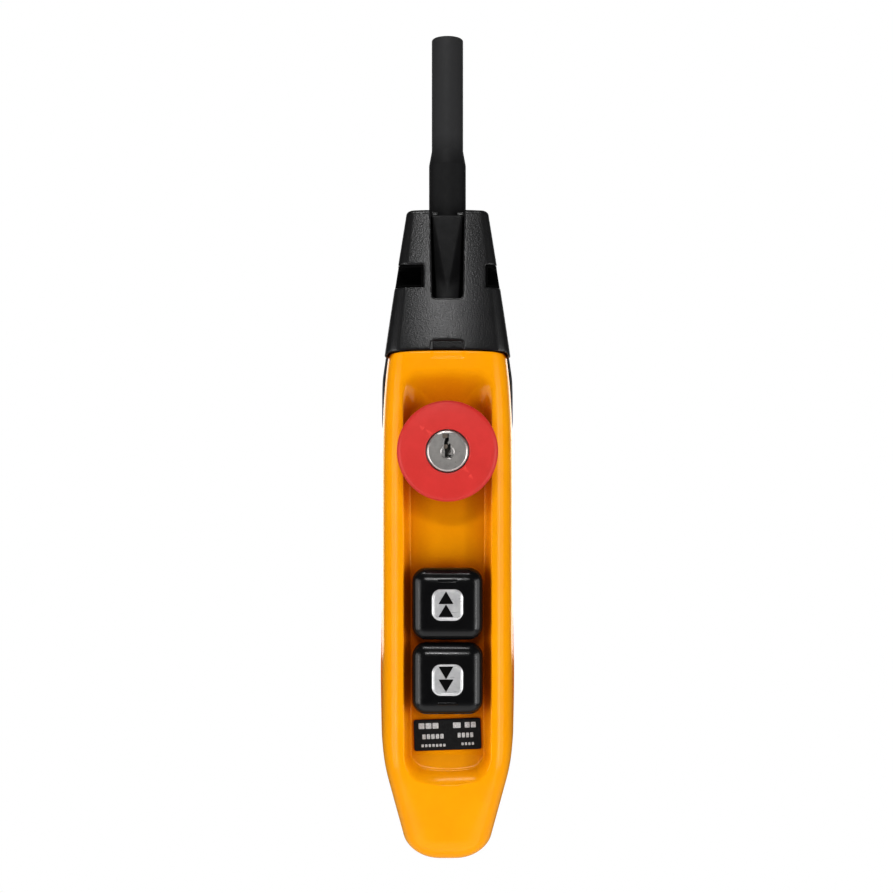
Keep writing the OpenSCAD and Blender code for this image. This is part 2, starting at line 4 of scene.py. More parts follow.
import bmesh
import bpy
import numpy as np
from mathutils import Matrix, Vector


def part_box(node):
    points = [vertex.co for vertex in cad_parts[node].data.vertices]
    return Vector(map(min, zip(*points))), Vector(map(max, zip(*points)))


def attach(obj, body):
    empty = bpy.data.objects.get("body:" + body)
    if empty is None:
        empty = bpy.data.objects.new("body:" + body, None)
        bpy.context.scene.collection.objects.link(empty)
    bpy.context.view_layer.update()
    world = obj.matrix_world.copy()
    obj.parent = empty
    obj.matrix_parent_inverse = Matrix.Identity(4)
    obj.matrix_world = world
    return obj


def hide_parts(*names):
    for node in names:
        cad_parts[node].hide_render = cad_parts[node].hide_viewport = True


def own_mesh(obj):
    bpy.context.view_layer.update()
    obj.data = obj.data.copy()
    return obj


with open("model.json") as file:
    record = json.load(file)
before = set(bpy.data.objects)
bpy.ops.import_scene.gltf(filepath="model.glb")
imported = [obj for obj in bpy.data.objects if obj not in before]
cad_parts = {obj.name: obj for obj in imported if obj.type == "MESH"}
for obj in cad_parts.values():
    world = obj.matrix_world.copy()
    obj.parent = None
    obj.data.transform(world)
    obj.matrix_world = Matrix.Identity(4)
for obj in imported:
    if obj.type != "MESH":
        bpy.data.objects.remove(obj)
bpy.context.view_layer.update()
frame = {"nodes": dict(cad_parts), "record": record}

import openvdb as vdb
from mathutils import Vector

# Pendant control station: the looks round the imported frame.
# Shapes are worked out in millimetres and turned into metres when a mesh is made.
# +Z runs up the cable, and the controls face -Y.

MM = 0.001
EYE = (-0.4, -564, -171.7)  # where the camera stands


def box_mm(node):
    """Lowest and highest corner of a CAD node, in millimetres."""
    low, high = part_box(node)
    return np.array(low) / MM, np.array(high) / MM


def middle(node):
    low, high = box_mm(node)
    return (low + high) / 2


# ------------------------------------------------------------------ stations

cover_lo, cover_hi = box_mm("front_cover")
head_lo, head_hi = box_mm("head_cap")
TIP = cover_lo[2]
COVER_TOP = cover_hi[2]
HEAD_TOP = head_hi[2]
SKIRT_END = head_lo[2]
HALF_W = cover_hi[0]
FRONT = -cover_lo[1]
BACK = box_mm("rear_shell")[1][1]
LENGTH = COVER_TOP - TIP
FLOOR_Y = box_mm("rating_plate")[1][1]
WALL = 2.5

STOP_Z = middle("mushroom_head")[2]
UP_Z = middle("up_cap")[2]
DOWN_Z = middle("down_cap")[2]
PLATE_Z = middle("rating_plate")[2]

# The screws come from behind, down wells in posts: (distance from the middle, z) of each pair.
CASE_POSTS = [(20.5, COVER_TOP - 75.5), (16.6, COVER_TOP - 173)]
HEAD_POSTS = [(20, COVER_TOP - 16)]
CLAMP_X = 11.5
CLAMP_Z = HEAD_TOP - 44
SCREW_R, WELL_R, POST_R = 1.7, 3.1, 4.7

# ------------------------------------------------------------------ small mathematics


def arc01(t):
    """Quarter circle: 0 at t = 0 with an upright start, 1 from t = 1 on."""
    return np.sqrt(1 - (1 - np.clip(t, 0, 1)) ** 2)


def smooth(t):
    t = np.clip(t, 0, 1)
    return t * t * (3 - 2 * t)


def smooth_min(a, b, k):
    m = np.clip(0.5 + 0.5 * (b - a) / k, 0, 1)
    return b + (a - b) * m - k * m * (1 - m)


def rounded_max(a, b, r):
    """The larger of two distances, with the corner between them rounded."""
    inside = np.minimum(np.maximum(a, b), -r)
    return inside + np.hypot(np.maximum(a + r, 0), np.maximum(b + r, 0))


def ramp(t, r):
    """0 below t = 0 and 1 above t = 1, straight between, with both corners rounded."""
    def area(u):
        return np.where(u < 0, 0, np.where(u < 1, u * u / 2, u - 0.5))
    return (area(t + r) - area(t - r)) / (2 * r)


def spaced(lo, hi, step):
    """Evenly spaced values from lo up to hi, without hi."""
    return np.linspace(lo, hi, max(1, round((hi - lo) / step)), endpoint=False)


# ------------------------------------------------------------------ meshes


def mesh_of(name, points, faces):
    """A mesh object with its normals out, from points in millimetres."""
    data = bpy.data.meshes.new(name)
    data.from_pydata([tuple(p) for p in np.asarray(points) * MM], [], [list(f) for f in faces])
    obj = bpy.data.objects.new(name, data)
    bpy.context.scene.collection.objects.link(obj)
    tidy(obj)
    return obj


def tidy(obj, merge=1e-6):
    bm = bmesh.new()
    bm.from_mesh(obj.data)
    bmesh.ops.remove_doubles(bm, verts=bm.verts, dist=merge)
    bmesh.ops.dissolve_degenerate(bm, edges=bm.edges, dist=merge)
    bmesh.ops.recalc_face_normals(bm, faces=bm.faces)
    bm.to_mesh(obj.data)
    bm.free()


def quads_between(a, b, closed=True):
    """Quads between two rows of point numbers."""
    a, b = list(a), list(b)
    last = len(a) if closed else len(a) - 1
    n = len(a)
    return [(a[i], a[(i + 1) % n], b[(i + 1) % n], b[i]) for i in range(last)]


def loft(rings):
    """Points and faces of a closed solid through rings of equally many points."""
    n = len(rings[0])
    number = [range(k * n, (k + 1) * n) for k in range(len(rings))]
    faces = [tuple(number[0]), tuple(number[-1])]
    for low, high in zip(number, number[1:]):
        faces += quads_between(low, high)
    return np.concatenate(rings), faces


def lathe(outline, steps=96):
    """A closed outline of (radius, height) turned about the local Z."""
    outline = np.asarray(outline, float)
    turns = np.linspace(0, 2 * math.pi, steps, endpoint=False)
    rings = [np.stack([outline[:, 0] * math.cos(a), outline[:, 0] * math.sin(a),
                       outline[:, 1]], -1) for a in turns]
    n = len(outline)
    faces = []
    for k in range(steps):
        following = (k + 1) % steps
        faces += quads_between(range(k * n, (k + 1) * n),
                               range(following * n, (following + 1) * n))
    return np.concatenate(rings), faces


def rounded_path(corners, steps=6):
    """Closed outline through corners (x, y, radius), each one rounded by an arc."""
    out = []
    for i, (x, y, r) in enumerate(corners):
        p = np.array([x, y], float)
        before = np.array(corners[i - 1][:2], float) - p
        after = np.array(corners[(i + 1) % len(corners)][:2], float) - p
        len_before, len_after = np.linalg.norm(before), np.linalg.norm(after)
        before, after = before / len_before, after / len_after
        half = math.acos(max(-1, min(1, before @ after))) / 2
        if r <= 0 or abs(half - math.pi / 2) < 1e-3:
            out.append(p)
            continue
        reach = min(r / math.tan(half), 0.49 * len_before, 0.49 * len_after)
        radius = reach * math.tan(half)
        bisector = (before + after) / np.linalg.norm(before + after)
        centre = p + bisector * radius / math.sin(half)
        first = p + before * reach - centre
        turn = math.pi - 2 * half
        if np.cross(before, after) > 0:
            turn = -turn
        for k in range(steps + 1):
            a = turn * k / steps
            out.append(centre + [first[0] * math.cos(a) - first[1] * math.sin(a),
                                 first[0] * math.sin(a) + first[1] * math.cos(a)])
    return np.array(out)


def rounded_rect(hx, hy, r, steps=8, side=5):
    """Rounded rectangle about the origin with points along its sides too."""
    out = []
    corners = [(hx - r, hy - r, 0), (r - hx, hy - r, 90), (r - hx, r - hy, 180), (hx - r, r - hy, 270)]
    for i, (cx, cy, start) in enumerate(corners):
        arc = [(cx + r * math.cos(math.radians(start + 90 * k / steps)),
                cy + r * math.sin(math.radians(start + 90 * k / steps))) for k in range(steps + 1)]
        out += arc
        nx, ny, turn = corners[(i + 1) % 4]
        first = (nx + r * math.cos(math.radians(turn)), ny + r * math.sin(math.radians(turn)))
        out += [tuple(np.array(arc[-1]) + (np.array(first) - arc[-1]) * k / side)
                for k in range(1, side)]
    return np.array(out)


def on_floor(points, z):
    """From a control's own frame, where +Z points out at the operator, to the row frame."""
    points = np.asarray(points, float)
    return np.stack([points[:, 0], FLOOR_Y - points[:, 2], z + points[:, 1]], -1)


def prism(outline, low, high):
    flat = np.asarray(outline, float)
    rings = [np.column_stack([flat, np.full(len(flat), level)]) for level in (low, high)]
    return loft(rings)


def bar_y(x, z, y0, y1, r, steps=40):
    turns = np.linspace(0, 2 * math.pi, steps, endpoint=False)
    rings = [np.stack([x + r * np.cos(turns), np.full(steps, y), z + r * np.sin(turns)], -1)
             for y in (y0, y1)]
    return loft(rings)


def block(low, high):
    (x0, y0, z0), (x1, y1, z1) = low, high
    ring = [(x0, y0), (x1, y0), (x1, y1), (x0, y1)]
    return loft([np.array([(x, y, z) for x, y in ring], float) for z in (z0, z1)])


def together(solids):
    """Several (points, faces) as one."""
    points, faces, count = [], [], 0
    for p, f in solids:
        points.append(p)
        faces += [tuple(i + count for i in face) for face in f]
        count += len(p)
    return np.concatenate(points), faces


def boolean(obj, solids, operation="DIFFERENCE"):
    """Cuts solids from obj, or joins them to it."""
    tool = mesh_of("tool", *together(solids))
    change = obj.modifiers.new("change", "BOOLEAN")
    change.operation = operation
    change.solver = "EXACT"
    change.object = tool
    applied(obj)
    bpy.data.objects.remove(tool)


def solid_of(obj):
    """The points, in millimetres, and faces of an object, which is removed."""
    points = np.array([v.co for v in obj.data.vertices]) / MM
    faces = [tuple(p.vertices) for p in obj.data.polygons]
    bpy.data.objects.remove(obj)
    return points, faces


def applied(obj):
    """Puts the result of the modifiers in the mesh."""
    bpy.context.view_layer.update()
    result = bpy.data.meshes.new_from_object(obj.evaluated_get(bpy.context.evaluated_depsgraph_get()))
    obj.modifiers.clear()
    obj.data = result
    tidy(obj)


def piece(obj, material, body, replaces=(), sharp=35):
    """Finishes a piece: shading, material, the body it rides on and what it stands for."""
    obj.data.materials.clear()
    obj.data.materials.append(material)
    for polygon in obj.data.polygons:
        polygon.material_index = 0
    obj.data.shade_smooth()
    obj.data.set_sharp_from_angle(angle=math.radians(sharp))
    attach(obj, body)
    if replaces:
        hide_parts(*replaces)
    return obj


def from_field(name, low, high, voxel, field, keep):
    """The surface where a distance field, in millimetres, is zero, thinned to a share, keep."""
    axes = [np.arange(a, b, voxel, dtype=np.float32) for a, b in zip(low, high)]
    x, y, z = np.meshgrid(*axes, indexing="ij")
    far = 3.0
    grid = vdb.FloatGrid(far)
    grid.copyFromArray(np.clip(field(x, y, z), -far, far).astype(np.float32))
    points, triangles, quads = grid.convertToPolygons(0.0, 0.0)
    obj = mesh_of(name, points * voxel + np.array(low), list(triangles) + list(quads))
    thin = obj.modifiers.new("thin", "DECIMATE")
    thin.ratio = keep
    applied(obj)
    return obj


# ------------------------------------------------------------------ materials


class Nodes:
    """A material's nodes, added one by one."""

    def __init__(self, name):
        self.material = bpy.data.materials.new(name)
        self.material.use_nodes = True
        self.tree = self.material.node_tree
        self.shader = self.tree.nodes["Principled BSDF"]
        self.place = self.add("ShaderNodeTexCoord").outputs["Object"]

    def add(self, kind, **settings):
        node = self.tree.nodes.new(kind)
        for key, value in settings.items():
            setattr(node, key, value)
        return node

    def link(self, source, target):
        self.tree.links.new(source, target)

    def noise(self, grain_mm, detail=3.0, roughness=0.5, stretch=(1, 1, 1)):
        """Noise whose grains are about grain_mm across."""
        mapping = self.add("ShaderNodeMapping")
        mapping.inputs["Scale"].default_value = stretch
        self.link(self.place, mapping.inputs["Vector"])
        node = self.add("ShaderNodeTexNoise")
        node.inputs["Scale"].default_value = 1 / (grain_mm * MM)
        node.inputs["Detail"].default_value = detail
        node.inputs["Roughness"].default_value = roughness
        self.link(mapping.outputs[0], node.inputs["Vector"])
        return node.outputs["Fac"]

    def cells(self, grain_mm):
        node = self.add("ShaderNodeTexVoronoi", feature="F1")
        node.inputs["Scale"].default_value = 1 / (grain_mm * MM)
        self.link(self.place, node.inputs["Vector"])
        return node.outputs["Distance"]

    def ranged(self, value, low, high, from_low=0.3, from_high=0.7):
        node = self.add("ShaderNodeMapRange")
        node.inputs["From Min"].default_value = from_low
        node.inputs["From Max"].default_value = from_high
        node.inputs["To Min"].default_value = low
        node.inputs["To Max"].default_value = high
        self.link(value, node.inputs["Value"])
        return node.outputs[0]

    def mixed(self, factor, first, second):
        node = self.add("ShaderNodeMix", data_type="RGBA")
        self.link(factor, node.inputs["Factor"])
        for socket, value in ((node.inputs[6], first), (node.inputs[7], second)):
            if isinstance(value, tuple):
                socket.default_value = (*value, 1)
            else:
                self.link(value, socket)
        return node.outputs[2]

    def bumps(self, layers):
        """Bump layers of (height value, strength, distance in mm), one on the other."""
        normal = None
        for height, strength, distance in layers:
            node = self.add("ShaderNodeBump")
            node.inputs["Strength"].default_value = strength
            node.inputs["Distance"].default_value = distance * MM
            self.link(height, node.inputs["Height"])
            if normal is not None:
                self.link(normal, node.inputs["Normal"])
            normal = node.outputs[0]
        self.link(normal, self.shader.inputs["Normal"])

    def edges(self):
        """White on convex edges, where handling wears a surface."""
        point = self.add("ShaderNodeNewGeometry").outputs["Pointiness"]
        return self.ranged(point, 0, 1, 0.53, 0.62)


def finish(name, colour, second, rough, spread=0.06, metal=0.0, patch=9.0, worn=None,
           painted_hollow_shade=None, upper=None, pebbles=None, layers=(), specular=0.5, stretch=(1, 1, 1)):
    """A procedural material.

    colour and second are mixed in soft patches of about patch mm, and roughness varies by
    spread about rough. worn is the colour of its edges. hollow is (colour, reach in mm, closed
    share, open share): painted shade, a darker colour mixed into the base colour where ambient
    occlusion finds hollows. upper is (colour, z from, z to): painted light, a lighter colour on
    the upper part standing in for light falling from above.
    pebbles is one (grain in mm, strength, height in mm) and layers are several, stretched by
    stretch as roughness is."""
    n = Nodes(name)
    tint = n.mixed(n.ranged(n.noise(patch, 4, 0.6), 0, 1), colour, second)
    if worn:
        share = n.add("ShaderNodeMath", operation="MULTIPLY")
        n.link(n.edges(), share.inputs[0])
        n.link(n.ranged(n.noise(1.7, 5, 0.7), 0, 0.8), share.inputs[1])
        tint = n.mixed(share.outputs[0], tint, worn)
    # Painted light: the upper part gets a lighter colour, standing in for light falling from above.
    if upper:
        level = n.add("ShaderNodeSeparateXYZ")
        n.link(n.place, level.inputs[0])
        share = n.ranged(level.outputs["Z"], 0, 1, upper[1] * MM, upper[2] * MM)
        tint = n.mixed(share, tint, upper[0])
    gloss = n.ranged(n.noise(patch * 0.4, 5, 0.65, stretch), rough - spread, rough + spread)
    # Painted shade: ambient occlusion mixes a darker colour into the base colour in hollows.
    if painted_hollow_shade:
        shade, reach, closed, opened = painted_hollow_shade
        around = n.add("ShaderNodeAmbientOcclusion", samples=8)
        around.inputs["Distance"].default_value = reach * MM
        openness = n.ranged(around.outputs["AO"], 0, 1, closed, opened)
        tint = n.mixed(openness, shade, tint)
    n.link(tint, n.shader.inputs["Base Color"])
    n.link(gloss, n.shader.inputs["Roughness"])
    n.shader.inputs["Specular IOR Level"].default_value = specular
    n.shader.inputs["Metallic"].default_value = metal
    relief = [(n.noise(grain, 2, 0.55, stretch), strength, height)
              for grain, strength, height in layers]
    if pebbles:
        relief.append((n.cells(pebbles[0]), *pebbles[1:]))
    if relief:
        n.bumps(relief)
    return n.material


# The yellow gets painted shade: a dark orange mixed into its colour where occlusion finds the recess,
# its corners and the space round the mushroom.
YELLOW = finish("moulded_yellow", (0.95, 0.405, 0.002), (0.92, 0.375, 0.0015), 0.18, 0.03,
                patch=14, specular=0.16, painted_hollow_shade=((0.50, 0.095, 0.001), 22, 0.42, 0.84),
                layers=[(6, 0.10, 0.10), (0.5, 0.05, 0.012)])
# The head's black gets painted shade: near-black mixed into its colour in its slots, window and wells.
HEAD_BLACK = finish("grained_black", (0.007, 0.007, 0.0075), (0.011, 0.011, 0.0115), 0.31, 0.02,
                    patch=12, painted_hollow_shade=((0.001, 0.001, 0.001), 14, 0.45, 0.8),
                    pebbles=(0.6, 0.7, 0.06), layers=[(0.8, 0.4, 0.08)])
# Painted shade: a near-black matt material for the sheets that darken the head's side slots.
SHADOW = finish("slot_painted_shade_sheet", (0.001, 0.001, 0.001), (0.003, 0.003, 0.003), 0.93, 0.04,
                patch=2, specular=0.05, layers=[(0.8, 0.4, 0.05)])
# The clamp's black gets painted shade: near-black mixed into its colour in its hollows.
CLAMP_BLACK = finish("smooth_black", (0.005, 0.005, 0.0055), (0.008, 0.008, 0.0085), 0.45, 0.06,
                     patch=6, specular=0.2, painted_hollow_shade=((0.001, 0.001, 0.001), 6, 0.2, 0.8),
                     layers=[(0.5, 0.25, 0.03)])
# The sleeve's upper part is painted lighter: painted light standing in for the light falling on its
# top.
RUBBER = finish("sleeve_rubber", (0.006, 0.006, 0.0065), (0.009, 0.009, 0.0095), 0.60, 0.08,
                patch=8, specular=0.22, upper=((0.030, 0.030, 0.031), HEAD_TOP + 22, HEAD_TOP + 34),
                layers=[(0.35, 0.35, 0.03), (5, 0.15, 0.2)])
SEAL = finish("seal_rubber", (0.012, 0.012, 0.012), (0.020, 0.020, 0.020), 0.7, 0.08,
              specular=0.35, layers=[(0.6, 0.3, 0.05)])
RED = finish("satin_red", (0.66, 0.043, 0.037), (0.60, 0.036, 0.029), 0.50, 0.05,
             patch=7, specular=0.4, worn=(0.85, 0.10, 0.08),
             layers=[(0.3, 0.22, 0.02), (4, 0.12, 0.08)])
CAP_BLACK = finish("glossy_black", (0.004, 0.004, 0.0045), (0.006, 0.006, 0.0065), 0.21, 0.06,
                   patch=6, specular=0.35, layers=[(3.2, 0.20, 0.12), (0.35, 0.20, 0.018)])
PLATE = finish("plate_black", (0.004, 0.004, 0.0045), (0.014, 0.014, 0.015), 0.50, 0.10,
               patch=0.9, specular=0.3, layers=[(0.3, 0.6, 0.04)])
PRINT = finish("plate_print", (0.70, 0.70, 0.70), (0.38, 0.38, 0.38), 0.55, 0.08, patch=0.7,
               layers=[(0.3, 0.3, 0.02)])
NICKEL = finish("satin_nickel", (0.50, 0.48, 0.46), (0.40, 0.385, 0.37), 0.36, 0.09, metal=0.75,
                patch=2.2, layers=[(0.9, 0.25, 0.03), (0.2, 0.2, 0.008)])
LEGEND = finish("brushed_legend", (0.66, 0.66, 0.66), (0.52, 0.52, 0.53), 0.34, 0.10, metal=0.3,
                patch=3, layers=[(0.25, 0.35, 0.012)], stretch=(0.12, 1, 1))
PIN = finish("lock_pins", (0.26, 0.22, 0.18), (0.16, 0.13, 0.11), 0.40, 0.10, metal=0.5,
             patch=0.8, layers=[(0.4, 0.3, 0.02)])
STEEL = finish("plated_steel", (0.56, 0.56, 0.55), (0.44, 0.44, 0.43), 0.32, 0.10, metal=1.0,
               patch=1.5, layers=[(0.3, 0.25, 0.01)])
SPRING = finish("spring_wire", (0.42, 0.41, 0.40), (0.30, 0.30, 0.29), 0.30, 0.08, metal=1.0,
                patch=1.0, layers=[(0.2, 0.25, 0.01)])
BRASS = finish("contact_brass", (0.72, 0.46, 0.16), (0.55, 0.33, 0.11), 0.30, 0.10, metal=1.0,
               patch=1.5, layers=[(0.3, 0.25, 0.01)])
IVORY = finish("insulator_ivory", (0.68, 0.64, 0.54), (0.60, 0.56, 0.46), 0.42, 0.08, patch=4,
               layers=[(0.6, 0.2, 0.02)])
BLOCK_BLACK = finish("insulator_black", (0.018, 0.018, 0.018), (0.028, 0.028, 0.028), 0.5, 0.08,
                     patch=4, layers=[(0.5, 0.3, 0.03)])
WIRE_RED = finish("wire_jacket", (0.55, 0.03, 0.02), (0.42, 0.02, 0.015), 0.38, 0.08, patch=3,
                  layers=[(0.8, 0.2, 0.02)])

# ------------------------------------------------------------------ case: common form


def shoulder(h):
    """The case draws in towards its top, over the last 60 mm."""
    return np.clip((h - 150) / (LENGTH - 150), 0, 1) ** 3


def half_width(h):
    bare = 6.4 + 10 * arc01(h / 8) + 0.268 * h
    return smooth_min(bare, HALF_W, 2.6) - 2.5 * shoulder(h)


def front_depth(h):
    bare = 8.5 + 7.6 * arc01(h / 9) + 0.124 * h
    return smooth_min(bare, FRONT, 0.8) - 0.8 * shoulder(h)


def back_depth(h):
    bare = 7.5 + 11 * arc01(h / 12) + 0.2 * h
    return smooth_min(bare, BACK, 0.8) - 0.9 * shoulder(h)


def section(hw, depth, n, m, fixed, arc_steps):
    """Half of a section, from its middle to its side edge: x, and depth from the parting plane.

    It follows (x / hw)^n + (y / depth)^m = 1. fixed are the x of its inner columns."""
    edge = float(smooth_min(fixed[-1], 0.75 * hw, 1.0))
    x = fixed * edge / fixed[-1]
    y = depth * (1 - (x / hw) ** n) ** (1 / m)
    start = math.asin((edge / hw) ** (n / 2))
    turn = np.linspace(start, math.pi / 2, arc_steps + 1)[1:]
    outer_y = depth * np.cos(turn) ** (2 / m)
    outer_y[-1] = 0
    return np.concatenate([x, hw * np.sin(turn) ** (2 / n)]), np.concatenate([y, outer_y])


def mirrored(x, y):
    return np.concatenate([-x[:0:-1], x]), np.concatenate([y[:0:-1], y])


def shell(name, outer, inner):
    """A closed shell between two sheets of points, each [row, column, xyz], the tip first."""
    rows, cols = outer.shape[:2]
    out = np.arange(rows * cols).reshape(rows, cols)
    inn = out + rows * cols
    faces = [tuple(out[0]), tuple(inn[0]), (out[0, 0], out[0, -1], inn[0, -1], inn[0, 0])]
    faces += quads_between(out[-1], inn[-1], closed=False)
    for sheet in (out, inn):
        for low, high in zip(sheet, sheet[1:]):
            faces += quads_between(low, high, closed=False)
    for side in (0, -1):
        faces += quads_between(out[:, side], inn[:, side], closed=False)
    points = np.concatenate([outer.reshape(-1, 3), inner.reshape(-1, 3)])
    return mesh_of(name, points, [tuple(int(i) for i in face) for face in faces])


# The cover's top edge and the head's lower edge meet in a shallow arch, rounded at the sides.
CORNER_R = 1.8
ARCH = 0.8


def joint_drop(x, hw):
    over = np.clip(np.abs(x) - (hw - CORNER_R), 0, CORNER_R)
    return ARCH * (x / hw) ** 2 + CORNER_R - np.sqrt(CORNER_R ** 2 - over ** 2)


# ------------------------------------------------------------------ front cover

RIM_HALF, RIM_TOP, RIM_END = 17.8, COVER_TOP - 9.3, COVER_TOP - 177.7
FLOOR_HALF, FLOOR_TOP, FLOOR_END = 15.2, COVER_TOP - 24.0, COVER_TOP - 172.3
CREASE_Z = COVER_TOP - 166.3
RIM_ARC, FLOOR_ARC = 34.0, 60.0
NOTCH_HALF = 6.6


def pocket_distance(x, z, half, top, end, top_r, arc_r, end_r):
    """Distance from a long pocket's outline, whose lower end is an arc."""
    centre = end + arc_r
    low = np.where(z < centre, np.hypot(x, z - centre) - arc_r, np.abs(x) - arc_r)
    sides = rounded_max(np.abs(x) - half, z - top, top_r)
    return rounded_max(sides, low, end_r)


def recess(x, z, grow=0.0):
    """How far into the recess a place is: 0 on the rim, 1 on the floor."""
    rim = pocket_distance(x, z, RIM_HALF, RIM_TOP, RIM_END, 6.5, RIM_ARC, 6) - grow
    floor = pocket_distance(x, z, FLOOR_HALF, FLOOR_TOP, FLOOR_END, 4.5, FLOOR_ARC, 4.5) - grow
    corner = 0.16 - 0.10 * smooth((FLOOR_END + 2 - z) / 4)
    down = np.clip(ramp(-rim / np.maximum(floor - rim, 0.2), corner), 0, 1)
    sweep = 1 + 0.7 * smooth((z - UP_Z) / 30)
    return 1 - (1 - down) ** sweep


def floor_depth(z):
    """Depth of the recess floor in front of the parting plane; it lifts at its lower end."""
    return -FLOOR_Y + 0.28 * np.maximum(0, CREASE_Z - z)


def front_cover():
    fixed = np.concatenate([spaced(0, 6, 0.75), spaced(6, 7.4, 0.2), spaced(7.4, 14.4, 0.7),
                            spaced(14.4, 19, 0.2), [19]])
    crease_h, end_h = CREASE_Z - TIP, RIM_END - TIP
    heights = np.concatenate([
        9 * (1 - np.cos(np.linspace(0, math.pi / 2, 15, endpoint=False))),
        spaced(9, end_h - 3, 0.8), spaced(end_h - 3, crease_h, 0.35),
        spaced(crease_h, 50, 0.5), spaced(50, 186, 1.5), spaced(186, LENGTH - 6, 0.5),
        spaced(LENGTH - 6, LENGTH - 0.7, 0.3)])
    edge = 0.7
    turns = np.radians([0, 22.5, 45, 67.5, 90])
    rows = [(h, 0.0) for h in heights]
    rows += [(LENGTH - edge * (1 - math.sin(a)), edge * (1 - math.cos(a))) for a in turns]
    outer, inner = [], []
    for h, inset in rows:
        hw = float(half_width(h)) - inset
        depth = float(front_depth(h)) - inset
        n = 4 + 4 * float(smooth(h / 40))
        x, y = mirrored(*section(hw, depth, n, 2, fixed, 30))
        drop = joint_drop(x, hw) * float(smooth((h - LENGTH + 16) / 15))
        z = TIP + h - drop
        into = recess(x, z)
        y_out = y + (floor_depth(z) - y) * into
        notch = smooth((NOTCH_HALF + 0.6 - np.abs(x)) / 1.6) * smooth((3.1 - (LENGTH - h)) / 0.7)
        y_out = y_out - 0.3 * notch
        seam = 0.3 * np.clip(1 - y / 0.8, 0, 1) ** 2
        outer.append(np.stack([x - np.sign(x) * seam, -y_out, z], -1))
        x_in = x * (hw - WALL) / hw
        y_in = y * (depth - WALL) / depth
        z_in = TIP + WALL + h * (LENGTH - WALL) / LENGTH - drop
        floor_in = floor_depth(z_in) - WALL
        into = recess(x_in, z_in, 1.8)
        y_in = y_in + np.minimum(floor_in - y_in, 0) * into
        inner.append(np.stack([x_in, -y_in, z_in], -1))
    cover = shell("cover_front", np.array(outer), np.array(inner))
    places = [(s * x, z) for x, z in CASE_POSTS + HEAD_POSTS for s in (-1, 1)]
    post_r, stop_r, button_half = 3.4, 11.1, 10.2
    boolean(cover, [bar_y(x, z, -14.5, -0.05, post_r) for x, z in places], "UNION")
    holes = [bar_y(0, STOP_Z, -19, 2, stop_r, 72)]
    holes += [block((-button_half, -19, z - button_half), (button_half, 2, z + button_half))
              for z in (UP_Z, DOWN_Z)]
    holes += [bar_y(x, z, -14, 2, SCREW_R, 24) for x, z in places]
    boolean(cover, holes)
    return piece(cover, YELLOW, "case", ["front_cover"])


# ------------------------------------------------------------------ rear shell

JOINT_GAP = 0.25


def rear_shell():
    fixed = np.concatenate([spaced(0, 18, 1.8), [18]])
    top = SKIRT_END - TIP - JOINT_GAP
    edge = 0.5
    heights = np.concatenate([
        9 * (1 - np.cos(np.linspace(0, math.pi / 2, 15, endpoint=False))),
        spaced(9, 50, 1.2), spaced(50, top - edge, 2.5)])
    turns = np.radians([0, 22.5, 45, 67.5, 90])
    rows = [(h, 0.0) for h in heights]
    rows += [(top - edge * (1 - math.sin(a)), edge * (1 - math.cos(a))) for a in turns]
    inside = 0.6  # the posts end this far inside the shell's outer face
    outer, inner, core = [], [], []
    for h, inset in rows:
        flare = 0.8 * math.exp(-((h - 76) / 32) ** 2)
        hw = float(half_width(h)) + flare - inset
        depth = float(back_depth(h)) - inset
        n = 3 + 2 * float(smooth(h / 40))
        x, y = mirrored(*section(hw, depth, n, 2.6, fixed, 26))
        seam = 0.3 * np.clip(1 - y / 0.8, 0, 1) ** 2
        z = np.full(len(x), TIP + h)
        outer.append(np.stack([x - np.sign(x) * seam, y, z], -1))
        z_in = np.full(len(x), TIP + WALL + h * (top - WALL) / top)
        inner.append(np.stack([x * (hw - WALL) / hw, y * (depth - WALL) / depth, z_in], -1))
        core.append(np.stack([x * (hw - inside) / hw, y * (depth - inside) / depth, z], -1))
    rear = shell("shell_rear", np.array(outer), np.array(inner))
    places = [(s * x, z) for x, z in CASE_POSTS for s in (-1, 1)]
    posts = mesh_of("posts", *together([bar_y(x, z, 0.05, BACK + 2, POST_R) for x, z in places]))
    boolean(posts, [loft(core)], "INTERSECT")
    boolean(rear, [solid_of(posts)], "UNION")
    boolean(rear, [bar_y(x, z, 15, BACK + 4, WELL_R) for x, z in places])
    boolean(rear, [bar_y(x, z, -2, 16, SCREW_R, 24) for x, z in places])
    return piece(rear, YELLOW, "case", ["rear_shell"])


# ------------------------------------------------------------------ cable head

WINDOW_TOP_HALF, WINDOW_END_HALF, WINDOW_END = 6.95, 6.25, HEAD_TOP - 35.8
SLOT_LEFT, SLOT_RIGHT, SLOT_BACK = -9.9, 15.7, 2.0
SLOT_LO, SLOT_HI = HEAD_TOP - 31.3, HEAD_TOP - 22
HEAD_WALL, SLOT_WALL = 2.4, 1.6
THUMB_TOP, THUMB_Y = COVER_TOP + 4.0, -19.0
# Half width, depths before and behind the parting plane and front corner radius, by height.
HEAD_HEIGHTS = [0, 2, 15, 21.5, 27, 34, 55, 72, 90]
HEAD_HALF_W = [27.2, 27.6, 27.6, 27.4, 26.6, 25.6, 22.4, 19.8, 16.9]
HEAD_FRONT = [20, 20, 20.1, 20.2, 20.3, 20.1, 17.9, 16.0, 14.0]
HEAD_CORNER = [7, 7, 7, 7, 6.5, 6, 5, 4, 3.2]
HEAD_REAR = [24.7, 25, 24.9, 24.6, 24.1, 23.4, 20.6, 18.5, 16.2]


def head_profile(z, values):
    """A width or depth of the head at a height, with its corners smoothed out."""
    line = np.linspace(-12, 102, 457)
    raw = np.interp(line, HEAD_HEIGHTS, values)
    kernel = np.hanning(31)
    even = np.convolve(np.pad(raw, 15, mode="edge"), kernel / kernel.sum(), mode="valid")
    return np.interp(z - SKIRT_END, line, even).astype(np.float32)


